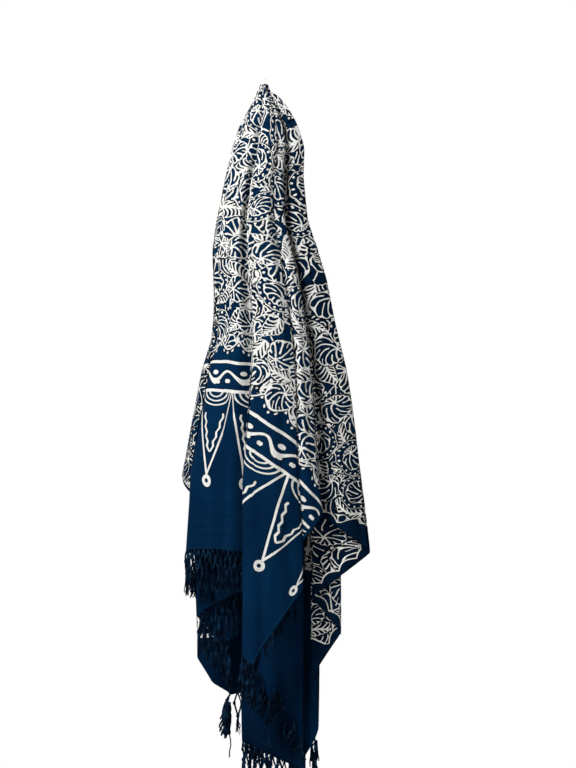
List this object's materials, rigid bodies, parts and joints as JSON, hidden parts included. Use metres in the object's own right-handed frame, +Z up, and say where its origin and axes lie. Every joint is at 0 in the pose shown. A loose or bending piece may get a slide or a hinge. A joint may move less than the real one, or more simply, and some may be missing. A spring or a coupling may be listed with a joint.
{
  "type": "batik sarong on a wall hook",
  "caption": "Wax-resist printed cotton sarong with knotted fringed ends, gathered at a point of its middle and hung in long uneven folds from a plain wall hook.",
  "frame": {"origin": "middle of the hook plate's back face, on the wall", "axes": "+Z up, +Y into the wall, +X to the right seen from the front; the sarong hangs down along -Z and stands out from the wall towards -Y"},
  "size_m": [0.3157, 0.1521, 1.2771],
  "materials": {
    "batik_cotton": "soft matt navy cotton with a cream wax-resist print",
    "navy_fringe": "matt dark navy cotton threads, knotted",
    "painted_steel": "satin off-white paint"
  },
  "bodies": {
    "root": {"wall_hook": "painted_steel", "gathered_top": "batik_cotton", "left_front_panel": "batik_cotton", "front_inner_pleats": "batik_cotton", "centre_panel": "batik_cotton", "right_front_fold": "batik_cotton", "right_inner_pleats": "batik_cotton", "right_side_panel": "batik_cotton", "right_under_fold": "batik_cotton", "right_lower_strip": "batik_cotton", "lower_front_panel": "batik_cotton", "lower_inner_pleats": "batik_cotton", "back_left_panel": "batik_cotton", "back_inner_pleats": "batik_cotton", "back_outer_panel": "batik_cotton", "left_side_strip": "batik_cotton", "left_inner_pleats": "batik_cotton", "left_front_fringe": "navy_fringe", "front_inner_fringe": "navy_fringe", "centre_fringe": "navy_fringe", "right_lower_fringe": "navy_fringe", "lower_front_fringe": "navy_fringe", "lower_inner_fringe": "navy_fringe", "back_left_fringe": "navy_fringe", "left_inner_fringe": "navy_fringe"}
  },
  "joints": []
}
